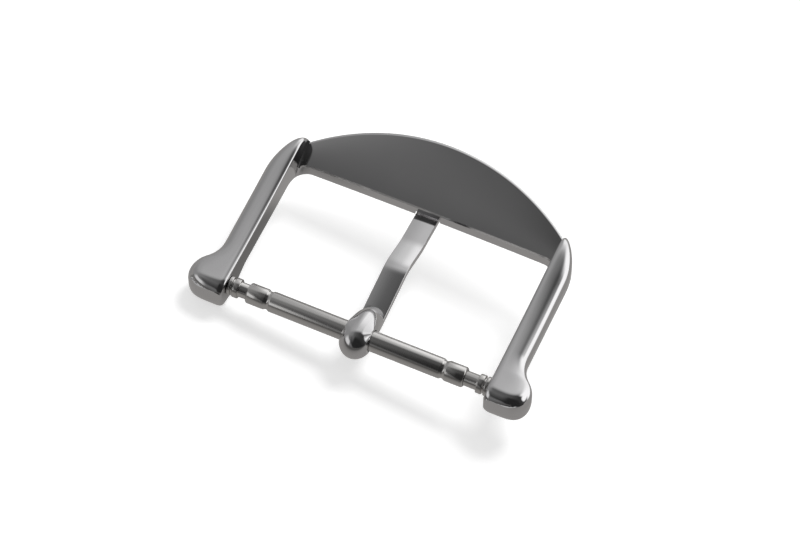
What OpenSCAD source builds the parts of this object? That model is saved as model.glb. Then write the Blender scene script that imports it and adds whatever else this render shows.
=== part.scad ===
// Pin buckle for a watch strap: a curved frame, its tang, and the spring bar that carries both.
// The origin is the middle of the spring bar. +X runs along the bar, +Y from the bar to the
// curved plate, and +Z is the side that lies towards the wrist.

/* [Strap] */
// Width of the strap, which is the gap between the two lugs
strap_w = 20; // [16:0.5:24]
// Length of the opening, from the axis of the bar to the straight edge of the plate
opening_len = 11.68; // [10:0.02:14]

/* [Plate] */
// Depth of the plate from its straight edge to the top of its curve
plate_depth = 4.56; // [3.8:0.02:5]
// Radius of the plate's curved rim
rim_r = 17.95; // [16:0.05:21]
// Thickness of the plate, measured straight through it
plate_t = 0.98; // [0.8:0.02:1.2]
// Slope of the plate up towards the wrist
plate_tilt = 27; // [20:1:30]
// Height of the plate's straight edge on the wrist side, below the axis of the bar
edge_drop = 0.95; // [0.8:0.05:1.1]
// Radius in the two inner corners of the opening
corner_fillet = 1; // [0.6:0.1:1.6]
// Chamfer along the plate's straight edge on the wrist side
edge_bevel = 0.08; // [0.04:0.01:0.15]
// Rounding of the plate's straight edge on the outer side
edge_round = 0.2; // [0.1:0.05:0.3]

/* [Arms] */
// Width of each arm
arm_w = 1.7; // [1.4:0.05:2.2]
// Height of the arms above the axis of the bar, at the lugs
arm_top = 1.12; // [1:0.02:1.3]
// How much the arms rise from the lugs to the plate
arm_rise = 0.03; // [0:0.01:0.15]
// How far the arms' tops dip at their middle
arm_sag = 0.12; // [0:0.01:0.2]
// How much the arms drop again where they run out at the rim
arm_fall = 1.4; // [1:0.05:1.5]
// Depth of the arms below the axis of the bar, behind the lugs
arm_under = 0.9; // [0.85:0.02:1]
// How much deeper the arms are where they reach the plate's corner
arm_deepen = 0.32; // [0.1:0.02:0.5]
// Radius of the frame's outer corners, in plan
shoulder_r = 5.5; // [4.5:0.1:6.5]
// Rounding of the arms' inner edges, measured across the arm
edge_w = 0.42; // [0.2:0.02:0.6]
// Rounding of the arms' inner edges, measured down
edge_h = 0.24; // [0.1:0.02:0.4]

/* [Lugs] */
// How far each lug swells out beyond its arm
lug_swell = 1.35; // [0.8:0.05:1.6]
// How far the flat ends of the lugs reach beyond the axis of the bar
lug_end = 1.34; // [1.2:0.02:1.6]
// Depth of the lugs below the axis of the bar
lug_under = 1.64; // [1.4:0.02:1.8]
// Radius of the outer corners of the lugs' ends, in plan
lug_r = 1.3; // [1:0.05:1.6]
// Radius of the inner corners of the lugs' ends, in plan
lug_corner = 0.2; // [0.1:0.02:0.3]
// Radius of the lugs' outer sides towards the arms, in plan
knob_r = 1.75; // [1.4:0.05:2]
// Radius of the hollow between a lug and its arm, in plan
neck_r = 2.1; // [1.5:0.05:3]
// Height of the crease between the top of a lug and its end
crease_z = 0.66; // [0.5:0.02:0.8]
// Length over which the top of a lug falls to the crease
lug_dome = 1.5; // [1:0.05:1.8]
// How far a lug's side bulges out below the crease
lug_bulge = 0.2; // [0.1:0.02:0.3]

/* [Spring bar] */
// Outer diameter of the tube
bar_d = 1.5; // [1.3:0.1:1.6]
// Wall of the tube
tube_wall = 0.17; // [0.14:0.01:0.2]
// Gap between a lug and the mouth of the tube, where the tube is in the middle
mouth_gap = 1.67; // [1.6:0.01:2]
// How far the loose tube has drifted from the middle
tube_drift = -0.17; // [-0.2:0.01:0.2]
// Distance from a mouth of the tube to the middle of its crimped groove
crimp_inset = 1.6; // [1.5:0.05:2]
// Width of a crimped groove
crimp_w = 0.5; // [0.4:0.05:0.6]
// Depth of a crimped groove
crimp_depth = 0.1; // [0.08:0.01:0.12]
// How far the rolled mouths of the tube are drawn in
mouth_round = 0.12; // [0.05:0.01:0.15]
// Diameter of the flanges on the pins
flange_d = 1.42; // [1.3:0.02:1.5]
// Thickness of the flange that a spring bar tool grips
flange_t = 0.42; // [0.35:0.01:0.5]
// Width of the groove between the flange and the collar
grip_gap = 0.14; // [0.1:0.01:0.2]
// Thickness of the collar that rests against the lug
collar_t = 0.26; // [0.2:0.01:0.3]
// Diameter of the tips in the lugs
tip_d = 0.8; // [0.7:0.05:0.9]
// Length of the tips beyond the collars
tip_len = 0.72; // [0.6:0.01:0.8]
// How far a pin slides in when it is pressed
press_travel = 0.72; // [0.7:0.01:0.75]
// How far the tube gives way when the left pin is pressed right in
tube_give = 0.18; // [0.15:0.01:0.2]
// Length of the heads that hold the pins in the tube
head_len = 0.8; // [0.6:0.05:1]
// Diameter of the spring's wire
wire_d = 0.16; // [0.12:0.01:0.18]
// Number of turns in the spring
spring_turns = 24; // [16:1:28]

/* [Tang] */
// Width of the tang's strip
tang_w = 1.7; // [1.4:0.05:1.9]
// Thickness of the tang's strip
tang_t = 0.55; // [0.45:0.05:0.65]
// Width of the tang's eye
eye_w = 2.1; // [1.9:0.05:2.4]
// Height of the eye above the axis of the bar
eye_top = 1.35; // [1.25:0.05:1.5]
// Wall of the eye round its bore, at its sides
eye_wall = 0.35; // [0.3:0.05:0.45]
// How far the front of the eye reaches beyond the axis of the bar
eye_front = 1.75; // [1.6:0.05:1.9]
// How far the eye's back runs out along the strip
eye_back = 3; // [2.6:0.1:3.2]
// Length of the rounded end of the eye's tail
tail_len = 0.7; // [0.5:0.05:0.9]
// Height of the hump in the strip
hump = 1.22; // [0.8:0.02:1.5]
// Level of the strip below the axis of the bar, where it leaves the eye
strip_drop = 1; // [0.95:0.05:1.1]
// How much deeper the strip lies at its tip
tip_drop = 1.05; // [0.9:0.05:1.15]
// Length of the tip past the straight edge of the plate
tip_past = 1.3; // [1:0.05:1.5]

/* [Fits] */
// Radial clearance between the tube and the tang's bore
tang_fit = 0.05; // [0.03:0.01:0.1]
// Radial clearance of the pins in the tube, and of the spring in the tube
pin_fit = 0.03; // [0.02:0.01:0.05]
// Radial clearance of the tips in the lugs' holes
tip_fit = 0.05; // [0.03:0.01:0.1]
// Running gap between moving faces
face_gap = 0.04; // [0.03:0.01:0.06]
// Depth left beyond the tips in the lugs' holes
hole_spare = 0.3; // [0.2:0.05:0.5]
// Gap on each side of the tang in its notch
notch_side = 0.13; // [0.1:0.01:0.2]
// Gap between the tang and the roof of its notch
notch_roof = 0.2; // [0.15:0.01:0.3]

/* [Hidden] */

// Plan of the frame
half_w = strap_w / 2;
arm_out = half_w + arm_w;
lug_out = arm_out + lug_swell;
lug_y = lug_r - lug_end;
neck_y = lug_y + sqrt(lug_swell * (2 * (knob_r + neck_r) - lug_swell));
turn_y = lug_y + (neck_y - lug_y) * knob_r / (knob_r + neck_r);
rim_y = opening_len + plate_depth - rim_r;
// The arms stand this much proud of the plate's underside that they run along
proud = 0.03;
// The plate reaches this far into the arms
inset = 0.07;
// An arm runs out just past the corner of the plate, where it is this wide
tip_w = 0.12;
arm_end = rim_y + sqrt(pow(rim_r, 2) - pow(half_w, 2)) + 0.05;
shoulder_x = arm_out - shoulder_r;
shoulder_y = arm_end - sqrt(pow(shoulder_r, 2) - pow(half_w + tip_w - shoulder_x, 2));
crease_y = -end_at(crease_z);
near_y = opening_len - 2 * corner_fillet;
plate_drop = plate_t / cos(plate_tilt);
under_edge = edge_drop + plate_drop;

// Stations of the arm along Y: close together round the lug and the shoulder
lug_steps = 10;
neck_steps = 11;
arm_steps = 6;
end_steps = 14;
// Points on the inner edge, the top, the upper side and the lower side of a section
edge_steps = 4;
top_steps = 7;
wall_steps = 3;
low_steps = 7;
// Exponents of the arms' crowned tops and of their undersides
crown_n = 2.9;
low_n = 4.5;

// Spring bar
tube_r = bar_d / 2;
tube_in_r = tube_r - tube_wall;
pin_r = tube_in_r - pin_fit;
crimp_in_r = tube_in_r - crimp_depth;
waist_r = crimp_in_r - pin_fit;
tube_half = half_w - mouth_gap;
collar_face = half_w - face_gap;
flange_out = collar_face - collar_t - grip_gap;
flange_in = flange_out - flange_t;
crimp_x = tube_half - crimp_inset;
// The neck stops short of the crimp by the most that the pin can close on it
neck_in = crimp_x + abs(tube_drift) + crimp_w / 2 + press_travel + tube_give + face_gap;
head_out = crimp_x - abs(tube_drift) - crimp_w / 2 - face_gap;
head_in = head_out - head_len;
coil_r = tube_in_r - pin_fit - wire_d / 2;
pitch = (2 * head_in - wire_d) / spring_turns;

// Tang
bore_r = tube_r + tang_fit;
eye_r = bore_r + eye_wall;
tang_end = opening_len + tip_past;
strip_start = bore_r * 0.75;
hump_y = opening_len * 0.47;
hump_half = opening_len * 0.48;
strip_steps = 44;
roof_z = strip_z(opening_len) + tang_t / 2 + notch_roof;

// A value that eases from 0 to 1 while t goes from 0 to 1
function ease(t) = let (u = max(0, min(1, t))) u * u * (3 - 2 * u);

// Reach of a lug's end at a level z, and half its height at a station y
function end_at(z) = lug_end * pow(max(0, 1 - pow(z / lug_under, 4)), 0.25);
function end_z(y) = lug_under * pow(max(0, 1 - pow(y / lug_end, 4)), 0.25);

// Outer edge of the arm and its lug at a station y: corner, knob, hollow, arm and shoulder
function arc_x(y, x0, y0, r) = x0 - r + sqrt(max(0, r * r - pow(y - y0, 2)));
function outer_x(y) = y < lug_y ? arc_x(y, lug_out, lug_y, lug_r)
    : y < turn_y ? arc_x(y, lug_out, lug_y, knob_r)
    : y < neck_y ? 2 * arm_out - arc_x(y, arm_out, neck_y, neck_r)
    : y < shoulder_y ? arm_out
    : shoulder_x + sqrt(max(0, pow(shoulder_r, 2) - pow(y - shoulder_y, 2)));

// Rounded inner corner of a lug's end, out from the inner wall
function inner_x(y) = let (past = min(1, max(0, 1 - (y + lug_end) / lug_corner)))
    lug_corner * (1 - sqrt(1 - past * past));

// How much a station belongs to the lug's creased end, from 1 down to 0
function creased(y) = ease((1 - y) / 2);

// Upper and lower edge of the arm at a station y
function sag_z(s) = arm_rise * s - 4 * arm_sag * (1 - s) * min(s, 1);
function top_z(y) = y < crease_y ? end_z(y) : arm_top + sag_z(y / near_y)
    - arm_fall * pow(max(0, (y - near_y) / (arm_end - near_y)), 7);
function arm_under_z(y) = -arm_under - arm_deepen * max(0, y) / (opening_len - corner_fillet);
function under_z(y) = y < 0 ? -end_z(y)
    : y < opening_len ? arm_under_z(y)
        - (lug_under - arm_under) * ease(1 - y / neck_y)
        - (under_edge + proud + arm_under_z(opening_len))
            * ease(1 + (y - opening_len) / (2 * corner_fillet))
    : -under_edge - proud + (y - opening_len) * tan(plate_tilt);

// Level of a lug's top, which falls like a dome towards the crease on its end and its side
function crease_gap(x, y) = x > lug_out - lug_r - half_w && y < lug_y
    ? lug_y - crease_y - norm([x - lug_out + lug_r + half_w, y - lug_y])
    : min(y - crease_y, outer_x(y) - half_w - lug_bulge - x);
function dome_z(x, y) = y > crease_y
    ? top_z(y) - (top_z(crease_y + 0.001) - crease_z)
        * pow(max(0, 1 - max(0, crease_gap(x, y)) / lug_dome), 3.4)
    : min(top_z(y), crease_z);

// One closed section of the arm, as a mix of a crowned section and the lug's creased one
function crown_z(x, a, top) = -0.1 + (top + 0.1) * pow(max(0, 1 - pow(x / a, crown_n)), 1 / crown_n);
function crown(a, up, t) = [a * pow(sin(t), 2 / crown_n), -0.1 + up * pow(cos(t), 2 / crown_n)];
function lug_wall(a, top, u) = let (in = min(a, lug_bulge), crease = min(top, crease_z))
    [a - in * pow(crease / crease_z * (1 - u), 2), crease * (1 - u) - 0.1 * u];
function arm_section(y) = let (
        a = outer_x(y) - half_w,
        top = top_z(y),
        k = creased(y),
        left = inner_x(y),
        w = min(edge_w, 0.4 * (a - left)),
        h = min(edge_h, 0.4 * top),
        edge_x = left + w,
        side_x = a - min(a, lug_bulge),
        start = asin(pow(edge_x / a, crown_n / 2)),
        steps = top_steps + wall_steps,
        ring = concat(
            [for (i = [0 : edge_steps]) let (
                t = 90 * i / edge_steps,
                x = left + w * (1 - cos(t)),
                z = crown_z(x, a, top)
            ) [x, z + k * (dome_z(x, y) - z) - h * (1 - sin(t))]],
            [for (i = [1 : steps]) let (
                x = edge_x + (side_x - edge_x) * i / top_steps,
                c = crown(a, top + 0.1, start + (90 - start) * i / steps),
                g = i > top_steps ? lug_wall(a, top, (i - top_steps) / wall_steps)
                    : [x, dome_z(x, y)]
            ) c + k * (g - c)],
            [for (i = [1 : low_steps]) let (t = 90 * i / low_steps)
                [left + (a - left) * pow(cos(t), 2 / low_n),
                    -0.1 + (under_z(y) + 0.1) * pow(sin(t), 2 / low_n)]]
        )
    ) [for (p = ring) [half_w + p[0], y, p[1]]];

function stations() = concat(
    [for (i = [0 : 2]) -end_at(crease_z * (0.3 + 0.35 * i))],
    [for (i = [1 : lug_steps]) crease_y + (lug_y - crease_y) * pow(i / lug_steps, 1.4)],
    [for (i = [1 : neck_steps]) lug_y + (neck_y - lug_y) * i / neck_steps],
    [for (i = [1 : arm_steps]) neck_y + (near_y - neck_y) * i / arm_steps],
    [for (i = [1 : end_steps]) near_y + (arm_end - near_y) * sin(90 * i / end_steps)]
);

// A solid through closed rings of points, with flat ends
module loft(rings) {
    n = len(rings[0]);
    last = len(rings) - 1;
    points = [for (ring = rings) each ring];
    sides = [for (i = [0 : last - 1], k = [0 : n - 1]) let (k2 = (k + 1) % n)
        each [[i * n + k, (i + 1) * n + k, (i + 1) * n + k2],
              [i * n + k, (i + 1) * n + k2, i * n + k2]]];
    ends = [[for (k = [0 : n - 1]) k], [for (k = [n - 1 : -1 : 0]) last * n + k]];
    polyhedron(points, concat(sides, ends), convexity = 6);
}

module both_sides() {
    children();
    mirror([1, 0, 0]) children();
}

module along_x() {
    rotate([90, 0, 90]) children();
}

module arm() {
    loft([for (y = stations()) arm_section(y)]);
}

// Outline of the plate in plan, with the filleted inner corners of the opening
module plate_plan() {
    intersection() {
        translate([0, rim_y]) circle(r = rim_r, $fn = 180);
        translate([-half_w - inset, opening_len]) square([strap_w + 2 * inset, plate_depth + 1]);
    }
    both_sides() difference() {
        translate([half_w - corner_fillet, opening_len - corner_fillet])
            square([corner_fillet + inset, corner_fillet + 0.1]);
        translate([half_w - corner_fillet, opening_len - corner_fillet])
            circle(r = corner_fillet, $fn = 64);
    }
}

// Side view of the plate: a slab that slopes up towards the wrist, and the webs of its corners
module plate_side() {
    run = plate_depth + 1;
    slope = tan(plate_tilt);
    near = opening_len - corner_fillet - 0.05;
    polygon(concat([
        [near, -edge_drop - edge_bevel],
        [opening_len, -edge_drop - edge_bevel],
        [opening_len + edge_bevel, -edge_drop + edge_bevel * slope],
        [opening_len + run, -edge_drop + run * slope],
        [opening_len + run, -under_edge + run * slope],
        [opening_len + 2 * edge_round, -under_edge + 2 * edge_round * slope],
        [opening_len + edge_round, -under_edge + edge_round * slope * 1.2],
        [opening_len, -under_edge + edge_round * 0.5]
    ], [for (i = [5 : -1 : 0]) let (y = near + (opening_len - near) * i / 6)
        [y, under_z(y) + proud + edge_round * 0.5 * i / 6]
    ]));
}

module plate() {
    intersection() {
        translate([0, 0, -6]) linear_extrude(12) plate_plan();
        along_x() translate([0, 0, -strap_w]) linear_extrude(2 * strap_w) plate_side();
    }
}

// Notch in the outer side of the plate, where the tip of the tang rests
module notch() {
    w = tang_w + 2 * notch_side;
    translate([-w / 2, opening_len - 1, roof_z - 6]) cube([w, plate_depth, 6]);
}

module buckle_frame() {
    color("silver") difference() {
        union() {
            both_sides() arm();
            plate();
        }
        notch();
        both_sides() translate([half_w - 1, 0, 0]) rotate([0, 90, 0])
            cylinder(r = tip_d / 2 + tip_fit, h = 1 - face_gap + tip_len + hole_spare, $fn = 48);
    }
}

// Height of the middle of the strip: a slow fall to the tip, with one hump
function strip_z(y) = -strip_drop - tip_drop * (y - strip_start) / (tang_end - strip_start)
    + hump * 0.5 * (1 + cos(180 * min(1, abs(y - hump_y) / hump_half)));
function strip_slope(y) = (strip_z(y + 0.01) - strip_z(y - 0.01)) / 0.02;
function strip_point(y, side) = let (s = strip_slope(y), n = sqrt(1 + s * s))
    [y - side * s / n * tang_t / 2, strip_z(y) + side / n * tang_t / 2];

module strip_side() {
    ys = [for (i = [0 : strip_steps]) strip_start + (tang_end - strip_start) * i / strip_steps];
    polygon(concat(
        [for (y = ys) strip_point(y, 1)],
        [for (i = [strip_steps : -1 : 0]) strip_point(ys[i], -1)]
    ));
}

module strip_plan() {
    tip_r = tang_w * 0.7;
    intersection() {
        translate([-tang_w / 2, 0]) square([tang_w, tang_end + tang_t]);
        union() {
            translate([-tang_w, 0]) square([2 * tang_w, tang_end - tip_r]);
            translate([0, tang_end - tip_r]) circle(r = tip_r, $fn = 64);
        }
    }
}

// The eye swells round the bar at the front and runs out in a tail along the strip
module eye() {
    tail_y = eye_back - tail_len;
    intersection() {
        hull() {
            translate([0, eye_top - eye_front, 0]) scale([eye_w * 0.6, eye_top, eye_top])
                sphere(r = 1, $fn = 48);
            along_x() translate([0, 0, -eye_w * 0.46])
                cylinder(r = eye_r, h = eye_w * 0.92, $fn = 48);
            translate([-tang_w / 2, bore_r, strip_z(eye_back) - tang_t / 4])
                cube([tang_w, tail_y - bore_r, tang_t / 2]);
            translate([0, tail_y, strip_z(tail_y) + tang_t / 2]) rotate([atan(strip_slope(tail_y)), 0, 0])
                scale([tang_w / 2 - 0.05, tail_len, 0.1]) sphere(r = 1, $fn = 32);
        }
        cube([eye_w, 4 * eye_back, 6], center = true);
    }
}

module tang() {
    color("gainsboro") difference() {
        union() {
            intersection() {
                along_x() translate([0, 0, -tang_w]) linear_extrude(2 * tang_w) strip_side();
                translate([0, 0, -6]) linear_extrude(12) strip_plan();
            }
            eye();
        }
        along_x() translate([0, 0, -eye_w]) cylinder(r = bore_r, h = 2 * eye_w, $fn = 64);
    }
}

// Half profile of the tube: distance along the bar, then radius
function mouth(side, r0, r1) = side > 0
    ? [[tube_half - mouth_round, r1], [tube_half, r1 - mouth_round], [tube_half, r0]]
    : [[-tube_half, r0], [-tube_half, r1 - mouth_round], [-tube_half + mouth_round, r1]];
function groove(x, r, depth) = [
    [x - crimp_w / 2, r], [x - crimp_w / 6, r - depth],
    [x + crimp_w / 6, r - depth], [x + crimp_w / 2, r]];

module turned(profile) {
    rotate([0, 90, 0]) rotate_extrude($fn = 64)
        polygon([for (p = profile) [p[1], p[0]]]);
}

module bar_tube() {
    outside = concat(mouth(-1, tube_in_r, tube_r), groove(-crimp_x, tube_r, crimp_depth),
        groove(crimp_x, tube_r, crimp_depth), mouth(1, tube_in_r, tube_r));
    inside = concat(groove(-crimp_x, tube_in_r, crimp_depth), groove(crimp_x, tube_in_r, crimp_depth));
    color("lightgray") translate([tube_drift, 0, 0])
        turned(concat(outside, [for (i = [len(inside) - 1 : -1 : 0]) inside[i]]));
}

// The right pin from its tip inwards: tip, collar, grip groove, flange, neck, waist and head
module pin() {
    tip_r = tip_d / 2;
    edge = 0.06;
    turned([
        [collar_face + tip_len, 0], [collar_face + tip_len, tip_r - edge],
        [collar_face + tip_len - edge, tip_r], [collar_face, tip_r],
        [collar_face, flange_d / 2 - edge], [collar_face - edge, flange_d / 2],
        [collar_face - collar_t, flange_d / 2], [collar_face - collar_t, pin_r],
        [flange_out, pin_r], [flange_out, flange_d / 2],
        [flange_in + edge, flange_d / 2], [flange_in, flange_d / 2 - edge],
        [flange_in, pin_r], [neck_in, pin_r], [neck_in - edge, waist_r],
        [head_out, waist_r], [head_out, pin_r], [head_in, pin_r], [head_in, 0]
    ]);
}

module right_pin() {
    color("darkgray") pin();
}

module left_pin() {
    color("darkgray") mirror([1, 0, 0]) pin();
}

// Coil spring between the heads of the two pins, swept round the bar's axis
module bar_spring() {
    ring_sides = 6;
    turn_steps = 10;
    steps = spring_turns * turn_steps;
    color("dimgray") loft([for (i = [0 : steps]) let (
            turn = 360 * i / turn_steps,
            x = -head_in + wire_d / 2 + pitch * i / turn_steps
        ) [for (k = [ring_sides - 1 : -1 : 0]) let (
            a = 360 * k / ring_sides,
            r = coil_r + wire_d / 2 * cos(a)
        ) [x + wire_d / 2 * sin(a), r * cos(turn), r * sin(turn)]]]);
}

buckle_frame();
tang();
bar_tube();
left_pin();
right_pin();
bar_spring();
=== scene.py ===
"""Pin buckle of a watch strap: polished frame, bent tang and turned spring bar, lying wrist side up."""

import math

import bmesh
import bpy
import numpy as np
from bpy.props import FloatProperty, FloatVectorProperty, IntProperty, PointerProperty
from bpy.types import Operator, Panel, PropertyGroup
from mathutils import Matrix, Vector


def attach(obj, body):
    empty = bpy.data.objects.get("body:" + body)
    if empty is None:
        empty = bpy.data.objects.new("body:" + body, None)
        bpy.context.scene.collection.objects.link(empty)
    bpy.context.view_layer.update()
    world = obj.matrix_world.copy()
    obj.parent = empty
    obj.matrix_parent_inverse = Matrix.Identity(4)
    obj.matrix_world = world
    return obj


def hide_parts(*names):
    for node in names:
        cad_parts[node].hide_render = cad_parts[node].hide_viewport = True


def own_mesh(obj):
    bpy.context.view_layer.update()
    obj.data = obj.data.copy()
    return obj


bl_info = {
    "name": "Watch strap pin buckle",
    "version": (1, 0, 0),
    "blender": (4, 5, 0),
    "location": "3D View > Sidebar > Buckle",
    "description": "Dresses the solids of a pin buckle: frame, tang, spring bar and table",
    "category": "Object",
}

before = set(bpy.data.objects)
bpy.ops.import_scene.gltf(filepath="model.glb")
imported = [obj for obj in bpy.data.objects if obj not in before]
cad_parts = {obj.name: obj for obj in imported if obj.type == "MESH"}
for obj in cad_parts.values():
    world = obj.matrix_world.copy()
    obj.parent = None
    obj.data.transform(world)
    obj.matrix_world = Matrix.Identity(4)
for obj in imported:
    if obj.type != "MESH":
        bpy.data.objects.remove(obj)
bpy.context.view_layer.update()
MM = 0.001


# Sizes and colours

def length(name, description, default):
    return FloatProperty(name=name, description=description, default=default, unit="LENGTH", precision=5)


def angle(name, description, degrees):
    return FloatProperty(name=name, description=description, default=math.radians(degrees), subtype="ANGLE")


def share(name, description, default):
    return FloatProperty(name=name, description=description, default=default, min=0.0, max=1.0,
                         subtype="FACTOR")


def colour(name, description, default):
    return FloatVectorProperty(name=name, description=description, default=default,
                               subtype="COLOR", size=3, min=0.0, max=1.0)


class FrameSizes(PropertyGroup):
    strap_w: length("Strap width", "Gap between the two lugs", 20 * MM)
    opening_len: length("Opening", "From the bar's axis to the plate's straight edge", 11.68 * MM)
    plate_depth: length("Plate depth", "From the straight edge to the top of the curve", 4.56 * MM)
    rim_r: length("Rim radius", "Radius of the plate's curved rim", 17.95 * MM)
    plate_t: length("Plate thickness", "Measured straight through the plate", 0.98 * MM)
    plate_tilt: angle("Plate slope", "Slope of the plate up towards the wrist", 27)
    edge_drop: length("Edge drop", "Straight edge of the plate below the bar's axis", 0.95 * MM)
    edge_bow: length("Edge bow", "How far the straight edge bows at its middle", 0.07 * MM)
    rim_bevel: length("Rim bevel", "Chamfer of the rim on the wrist side, across", 0.22 * MM)
    arm_w: length("Arm width", "Width of each arm", 1.7 * MM)
    arm_top: length("Arm height", "Arms above the bar's axis, at the lugs", 1.12 * MM)
    arm_under: length("Arm depth", "Arms below the bar's axis, behind the lugs", 0.9 * MM)
    shoulder_r: length("Shoulder radius", "Outer corners of the frame in plan", 5.5 * MM)
    lug_swell: length("Lug swell", "How far a lug swells out beyond its arm", 1.35 * MM)
    lug_end: length("Lug end", "Flat end of a lug, beyond the bar's axis", 1.34 * MM)
    lug_under: length("Lug depth", "Lugs below the bar's axis", 1.64 * MM)
    lug_r: length("Lug corner radius", "Outer corner of a lug's end in plan", 1.3 * MM)
    knob_r: length("Lug back radius", "Outer side of a lug in plan, towards the arm", 1.75 * MM)
    neck_r: length("Lug neck radius", "Hollow between a lug and its arm", 2.1 * MM)
    crease_z: length("Crease height", "Crease between a lug's top and its side", 0.66 * MM)
    arm_sag: length("Arm sag", "How far the arms' tops dip at their middle", 0.12 * MM)
    edge_w: length("Inner edge width", "Rounding of the arms' inner edges, across", 0.42 * MM)
    edge_h: length("Inner edge depth", "Rounding of the arms' inner edges, down", 0.24 * MM)


class TangSizes(PropertyGroup):
    width: length("Strip width", "Width of the tang's strip", 1.7 * MM)
    thickness: length("Strip thickness", "Thickness of the tang's strip", 0.55 * MM)
    step: angle("Step", "Slope of the strip down from its crest towards the plate", 20)
    eye_w: length("Eye width", "Width of the tang's eye", 2.1 * MM)
    eye_top: length("Eye height", "Top of the eye above the bar's axis", 1.35 * MM)
    eye_front: length("Eye reach", "Front of the eye beyond the bar's axis", 1.75 * MM)
    eye_back: length("Eye tail", "How far the eye's tail runs out along the strip", 3.0 * MM)
    bore_r: length("Bore radius", "Radius of the hole for the spring bar", 0.8 * MM)


class BarSizes(PropertyGroup):
    tube_d: length("Tube diameter", "Outer diameter of the tube", 1.5 * MM)
    wall: length("Tube wall", "Wall of the tube", 0.17 * MM)
    drift: length("Tube drift", "How far the loose tube stands from the middle", -0.17 * MM)
    flange_d: length("Flange diameter", "Diameter of the flanges on the pins", 1.42 * MM)
    tip_d: length("Tip diameter", "Diameter of the tips in the lugs", 0.8 * MM)
    wire_d: length("Spring wire", "Diameter of the spring's wire", 0.16 * MM)
    turns: IntProperty(name="Spring turns", description="Number of turns in the coil spring", default=24)
    segments: IntProperty(name="Segments", description="Sides of the turned parts", default=128)


class Finishes(PropertyGroup):
    polished: colour("Polished steel", "Frame and tang", (0.62, 0.615, 0.62))
    turned: colour("Turned steel", "Tube and pins", (0.6, 0.59, 0.58))
    wire: colour("Spring wire", "Coil spring", (0.42, 0.42, 0.43))
    polish_roughness: share("Polish roughness", "Roughness of the polished steel", 0.11)
    turned_roughness: share("Turned roughness", "Roughness of the turned steel", 0.17)
    wire_roughness: share("Wire roughness", "Roughness of the spring's wire", 0.3)
    table: colour("Table", "Colour of the white table", (0.83, 0.83, 0.83))
    table_glow: share("Table glow", "Brightness added to the table for the camera", 0.52)
    # Painted shade: the steel mirrors this darker grey glow in place of the white table, standing in for the
    # table's shadow round the buckle.
    mirrored_table_shade: colour("Mirrored table", "Colour of the table where the steel mirrors it",
                           (0.37, 0.36, 0.35))


def sizes(name):
    return getattr(bpy.context.scene, name)


# Mesh helpers. All points are in millimetres until the mesh is made.

def ease(t):
    t = np.clip(t, 0.0, 1.0)
    return t * t * (3 - 2 * t)


def object_from(name, points, faces):
    mesh = bpy.data.meshes.new(name)
    mesh.from_pydata([tuple(c * MM for c in p) for p in points], [], faces)
    mesh.update()
    obj = bpy.data.objects.new(name, mesh)
    bpy.context.scene.collection.objects.link(obj)
    return obj


def loft(name, rings):
    """A closed solid through rings of points, with flat ends."""
    n = len(rings[0])
    points = [tuple(p) for ring in rings for p in ring]
    faces = []
    for i in range(len(rings) - 1):
        for k in range(n):
            k2 = (k + 1) % n
            faces.append((i * n + k, (i + 1) * n + k, (i + 1) * n + k2, i * n + k2))
    last = (len(rings) - 1) * n
    faces.append(tuple(range(n)))
    faces.append(tuple(last + k for k in reversed(range(n))))
    obj = object_from(name, points, faces)
    outward(obj)
    return obj


def block(name, xs, ys, zs):
    """A box between two values on each axis."""
    obj = object_from(name, [(x, y, z) for x in xs for y in ys for z in zs],
                      [(0, 1, 3, 2), (4, 6, 7, 5), (0, 4, 5, 1), (2, 3, 7, 6), (0, 2, 6, 4), (1, 5, 7, 3)])
    outward(obj)
    return obj


def outward(obj):
    """Merges doubles and turns the faces outwards."""
    bm = bmesh.new()
    bm.from_mesh(obj.data)
    bmesh.ops.remove_doubles(bm, verts=bm.verts, dist=1e-8)
    bmesh.ops.recalc_face_normals(bm, faces=bm.faces)
    bm.to_mesh(obj.data)
    bm.free()
    obj.data.update()


def mirrored(obj, name):
    """A copy on the other side of the YZ plane."""
    copy = obj.copy()
    copy.data = obj.data.copy()
    copy.name = name
    bpy.context.scene.collection.objects.link(copy)
    copy.data.transform(Matrix.Scale(-1, 4, (1, 0, 0)))
    outward(copy)
    return copy


def cut(obj, cutter):
    """Takes the cutter out of obj and deletes the cutter."""
    mod = obj.modifiers.new("cut", "BOOLEAN")
    mod.operation = "DIFFERENCE"
    mod.solver = "EXACT"
    mod.object = cutter
    apply_modifiers(obj)
    bpy.data.objects.remove(cutter)


def apply_modifiers(obj):
    """Turns what the modifiers make into the object's own plain mesh."""
    bpy.context.view_layer.update()
    made = bpy.data.meshes.new_from_object(obj.evaluated_get(bpy.context.evaluated_depsgraph_get()))
    obj.modifiers.clear()
    old = obj.data
    obj.data = made
    bpy.data.meshes.remove(old)


def joined(objs, name):
    with bpy.context.temp_override(active_object=objs[0], object=objs[0], selected_objects=objs,
                                   selected_editable_objects=objs):
        bpy.ops.object.join()
    objs[0].name = objs[0].data.name = name
    return objs[0]


def smooth(obj, degrees):
    obj.data.shade_smooth()
    obj.data.set_sharp_from_angle(angle=math.radians(degrees))


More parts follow.
